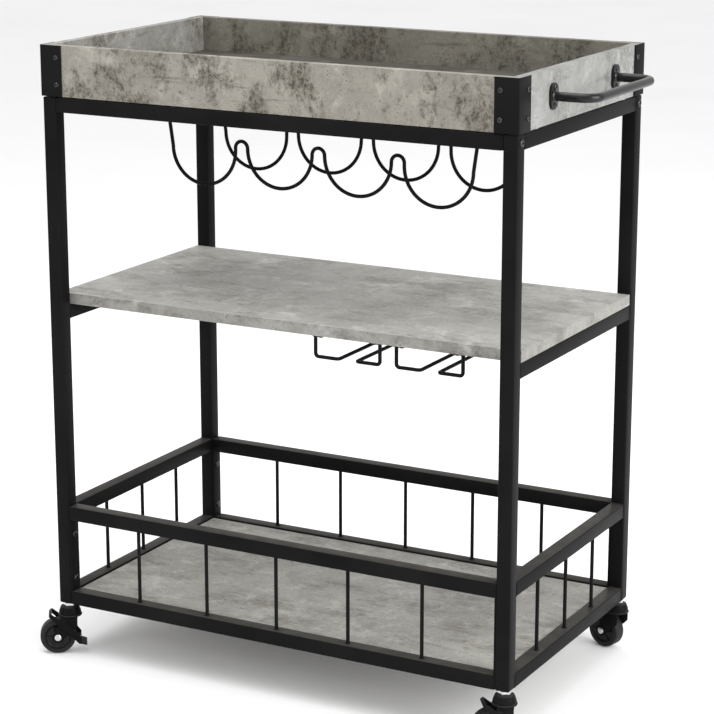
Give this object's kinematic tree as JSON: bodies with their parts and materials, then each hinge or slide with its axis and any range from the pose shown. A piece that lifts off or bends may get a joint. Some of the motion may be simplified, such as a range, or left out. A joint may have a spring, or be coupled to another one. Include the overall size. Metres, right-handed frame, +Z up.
{
  "type": "kitchen island cart",
  "caption": "Free-standing rolling kitchen cart with lift-off tray top, wire bottle rack, middle shelf with stemware rails and railed bottom shelf on swivel casters",
  "frame": {"origin": "on the floor, under the middle of the cart", "axes": "+Z up, +X to the right along the cart's length, +Y towards the back"},
  "size_m": [0.824, 0.4309, 0.865],
  "materials": {
    "black_steel": "satin black powder coat",
    "concrete_laminate": "grey concrete-look laminate on particle board",
    "caster_polymer": "moulded black caster polymer",
    "zinc": "bright zinc plate",
    "black_zinc": "black zinc"
  },
  "bodies": {
    "cart": {"post_front_left": "black_steel", "post_front_right": "black_steel", "post_rear_left": "black_steel", "post_rear_right": "black_steel", "left_bottom_cross_rail": "black_steel", "left_guard_cross_rail": "black_steel", "left_middle_cross_rail": "black_steel", "left_top_cross_rail": "black_steel", "right_bottom_cross_rail": "black_steel", "right_guard_cross_rail": "black_steel", "right_middle_cross_rail": "black_steel", "right_top_cross_rail": "black_steel", "front_top_rail": "black_steel", "rear_top_rail": "black_steel", "front_lower_panel": "black_steel", "rear_lower_panel": "black_steel", "wine_rack_front_wire": "black_steel", "wine_rack_rear_wire": "black_steel", "wine_rack_left_strap": "black_steel", "wine_rack_right_strap": "black_steel", "top_rail_bolt_front_left": "black_zinc", "top_rail_bolt_front_right": "black_zinc", "top_rail_bolt_rear_left": "black_zinc", "top_rail_bolt_rear_right": "black_zinc", "middle_shelf": "concrete_laminate", "bottom_shelf": "concrete_laminate", "stemware_inner_slot_left_rail": "black_steel", "stemware_inner_slot_right_rail": "black_steel", "stemware_outer_slot_left_rail": "black_steel", "stemware_outer_slot_right_rail": "black_steel", "caster_stem_front_left": "zinc", "caster_stem_front_right": "zinc", "caster_stem_rear_left": "zinc", "caster_stem_rear_right": "zinc"},
    "tray": {"tray_floor": "concrete_laminate", "tray_front_board": "concrete_laminate", "tray_rear_board": "concrete_laminate", "tray_left_board": "concrete_laminate", "tray_right_board": "concrete_laminate", "tray_bracket_front_left": "black_steel", "tray_bracket_front_right": "black_steel", "tray_bracket_rear_left": "black_steel", "tray_bracket_rear_right": "black_steel", "tray_left_handle": "black_steel", "tray_right_handle": "black_steel"},
    "caster_front_left": {"caster_fork_front_left": "black_steel", "caster_axle_front_left": "zinc"},
    "wheel_front_left": {"caster_wheel_front_left": "caster_polymer"},
    "caster_front_right": {"caster_fork_front_right": "black_steel", "caster_axle_front_right": "zinc"},
    "wheel_front_right": {"caster_wheel_front_right": "caster_polymer"},
    "caster_rear_left": {"caster_fork_rear_left": "black_steel", "caster_axle_rear_left": "zinc"},
    "wheel_rear_left": {"caster_wheel_rear_left": "caster_polymer"},
    "caster_rear_right": {"caster_fork_rear_right": "black_steel", "caster_axle_rear_right": "zinc"},
    "wheel_rear_right": {"caster_wheel_rear_right": "caster_polymer"},
    "brake_front_left": {"caster_brake_front_left": "black_steel"},
    "brake_front_right": {"caster_brake_front_right": "black_steel"}
  },
  "joints": [
    {"name": "tray_lift", "type": "slide", "parent": "cart", "child": "tray", "axis": [0, 0, 1], "range_m": [0, 0.12]},
    {"name": "caster_swivel_front_left", "type": "hinge", "parent": "cart", "child": "caster_front_left", "pos_m": [-0.34, -0.19, 0.06], "axis": [0, 0, 1], "continuous": true},
    {"name": "wheel_roll_front_left", "type": "hinge", "parent": "caster_front_left", "child": "wheel_front_left", "pos_m": [-0.35474, -0.20032, 0.025], "axis": [-0.5736, 0.8192, 0], "continuous": true},
    {"name": "brake_pedal_front_left", "type": "hinge", "parent": "caster_front_left", "child": "brake_front_left", "pos_m": [-0.34737, -0.19516, 0.044], "axis": [-0.5736, 0.8192, 0], "range_deg": [0, 14]},
    {"name": "caster_swivel_front_right", "type": "hinge", "parent": "cart", "child": "caster_front_right", "pos_m": [0.34, -0.19, 0.06], "axis": [0, 0, 1], "continuous": true},
    {"name": "wheel_roll_front_right", "type": "hinge", "parent": "caster_front_right", "child": "wheel_front_right", "pos_m": [0.32526, -0.20032, 0.025], "axis": [-0.5736, 0.8192, 0], "continuous": true},
    {"name": "brake_pedal_front_right", "type": "hinge", "parent": "caster_front_right", "child": "brake_front_right", "pos_m": [0.33263, -0.19516, 0.044], "axis": [-0.5736, 0.8192, 0], "range_deg": [0, 14]},
    {"name": "caster_swivel_rear_left", "type": "hinge", "parent": "cart", "child": "caster_rear_left", "pos_m": [-0.34, 0.19, 0.06], "axis": [0, 0, 1], "continuous": true},
    {"name": "wheel_roll_rear_left", "type": "hinge", "parent": "caster_rear_left", "child": "wheel_rear_left", "pos_m": [-0.35739, 0.19466, 0.025], "axis": [0.2588, 0.9659, 0], "continuous": true},
    {"name": "caster_swivel_rear_right", "type": "hinge", "parent": "cart", "child": "caster_rear_right", "pos_m": [0.34, 0.19, 0.06], "axis": [0, 0, 1], "continuous": true},
    {"name": "wheel_roll_rear_right", "type": "hinge", "parent": "caster_rear_right", "child": "wheel_rear_right", "pos_m": [0.32261, 0.19466, 0.025], "axis": [0.2588, 0.9659, 0], "continuous": true}
  ]
}
